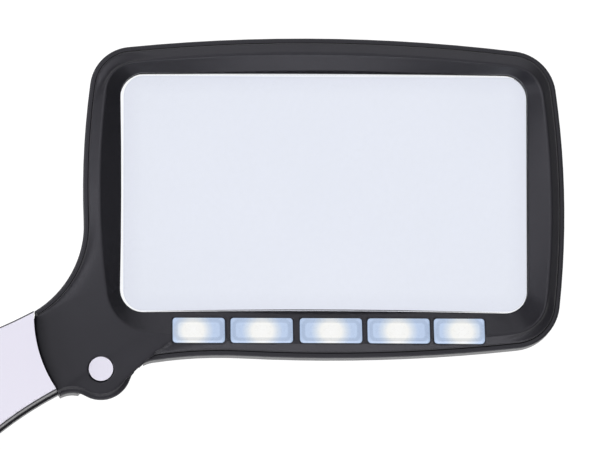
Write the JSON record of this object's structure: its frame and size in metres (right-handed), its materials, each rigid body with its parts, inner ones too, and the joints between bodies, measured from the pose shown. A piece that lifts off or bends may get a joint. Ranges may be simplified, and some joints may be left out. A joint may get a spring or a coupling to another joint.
{
  "type": "magnifying glass",
  "caption": "Rectangular hand magnifier with a bevelled black frame, a clear lens, a row of lamp windows along one edge and a folding white handle.",
  "frame": {"origin": "middle of the whole object's footprint with the handle open, on the plane the user side rests on", "axes": "+X along the length of the lens away from the handle, +Y across the lens away from the lamp bar, +Z from the user side to the lamp side"},
  "size_m": [0.24, 0.1458, 0.0166],
  "materials": {
    "black_plastic": "satin fine texture",
    "white_plastic": "semi-gloss",
    "lens_acrylic": "polished clear",
    "window_frosted": "lightly frosted",
    "lamp_body": "white lamp body, lit",
    "board_white": "white solder mask",
    "board_green": "green solder mask",
    "resistor_black": "matt",
    "steel": "zinc plated",
    "nickel": "nickel plated",
    "cell_wrap": "printed sleeve, plain",
    "wire_red": "insulation",
    "wire_black": "insulation"
  },
  "bodies": {
    "head": {"front_bezel": "black_plastic", "rear_bezel": "black_plastic", "lens": "lens_acrylic", "led_window_1": "window_frosted", "led_window_2": "window_frosted", "led_window_3": "window_frosted", "led_window_4": "window_frosted", "led_window_5": "window_frosted", "led_board": "board_white", "led_1": "lamp_body", "led_2": "lamp_body", "led_3": "lamp_body", "led_4": "lamp_body", "led_5": "lamp_body", "board_resistors": "resistor_black", "head_screws": "steel", "head_wire_red": "wire_red", "head_wire_black": "wire_black"},
    "handle": {"handle_front_shell": "white_plastic", "handle_rear_shell": "black_plastic", "contact_plates_inner": "nickel", "contact_plates_outer": "nickel", "battery_1": "cell_wrap", "battery_2": "cell_wrap", "battery_3": "cell_wrap", "battery_spring_1": "nickel", "battery_spring_2": "nickel", "battery_spring_3": "nickel", "switch_board": "board_green", "switch_body": "steel", "handle_screws": "steel", "handle_wire_red": "wire_red", "handle_wire_black": "wire_black", "battery_wire_red": "wire_red", "battery_wire_black": "wire_black"},
    "switch": {"switch_knob": "white_plastic"},
    "door": {"battery_door": "black_plastic"}
  },
  "joints": [
    {"name": "handle_fold", "type": "hinge", "parent": "head", "child": "handle", "pos_m": [-0.00466, -0.01683, 0.006], "axis": [0, 0, 1], "range_deg": [0, 148]},
    {"name": "switch_slide", "type": "slide", "parent": "handle", "child": "switch", "axis": [-0.8878, -0.4602, 0], "range_m": [0, 0.003]},
    {"name": "door_slide", "type": "slide", "parent": "handle", "child": "door", "axis": [-0.8878, -0.4602, 0], "range_m": [0, 0.06]}
  ]
}
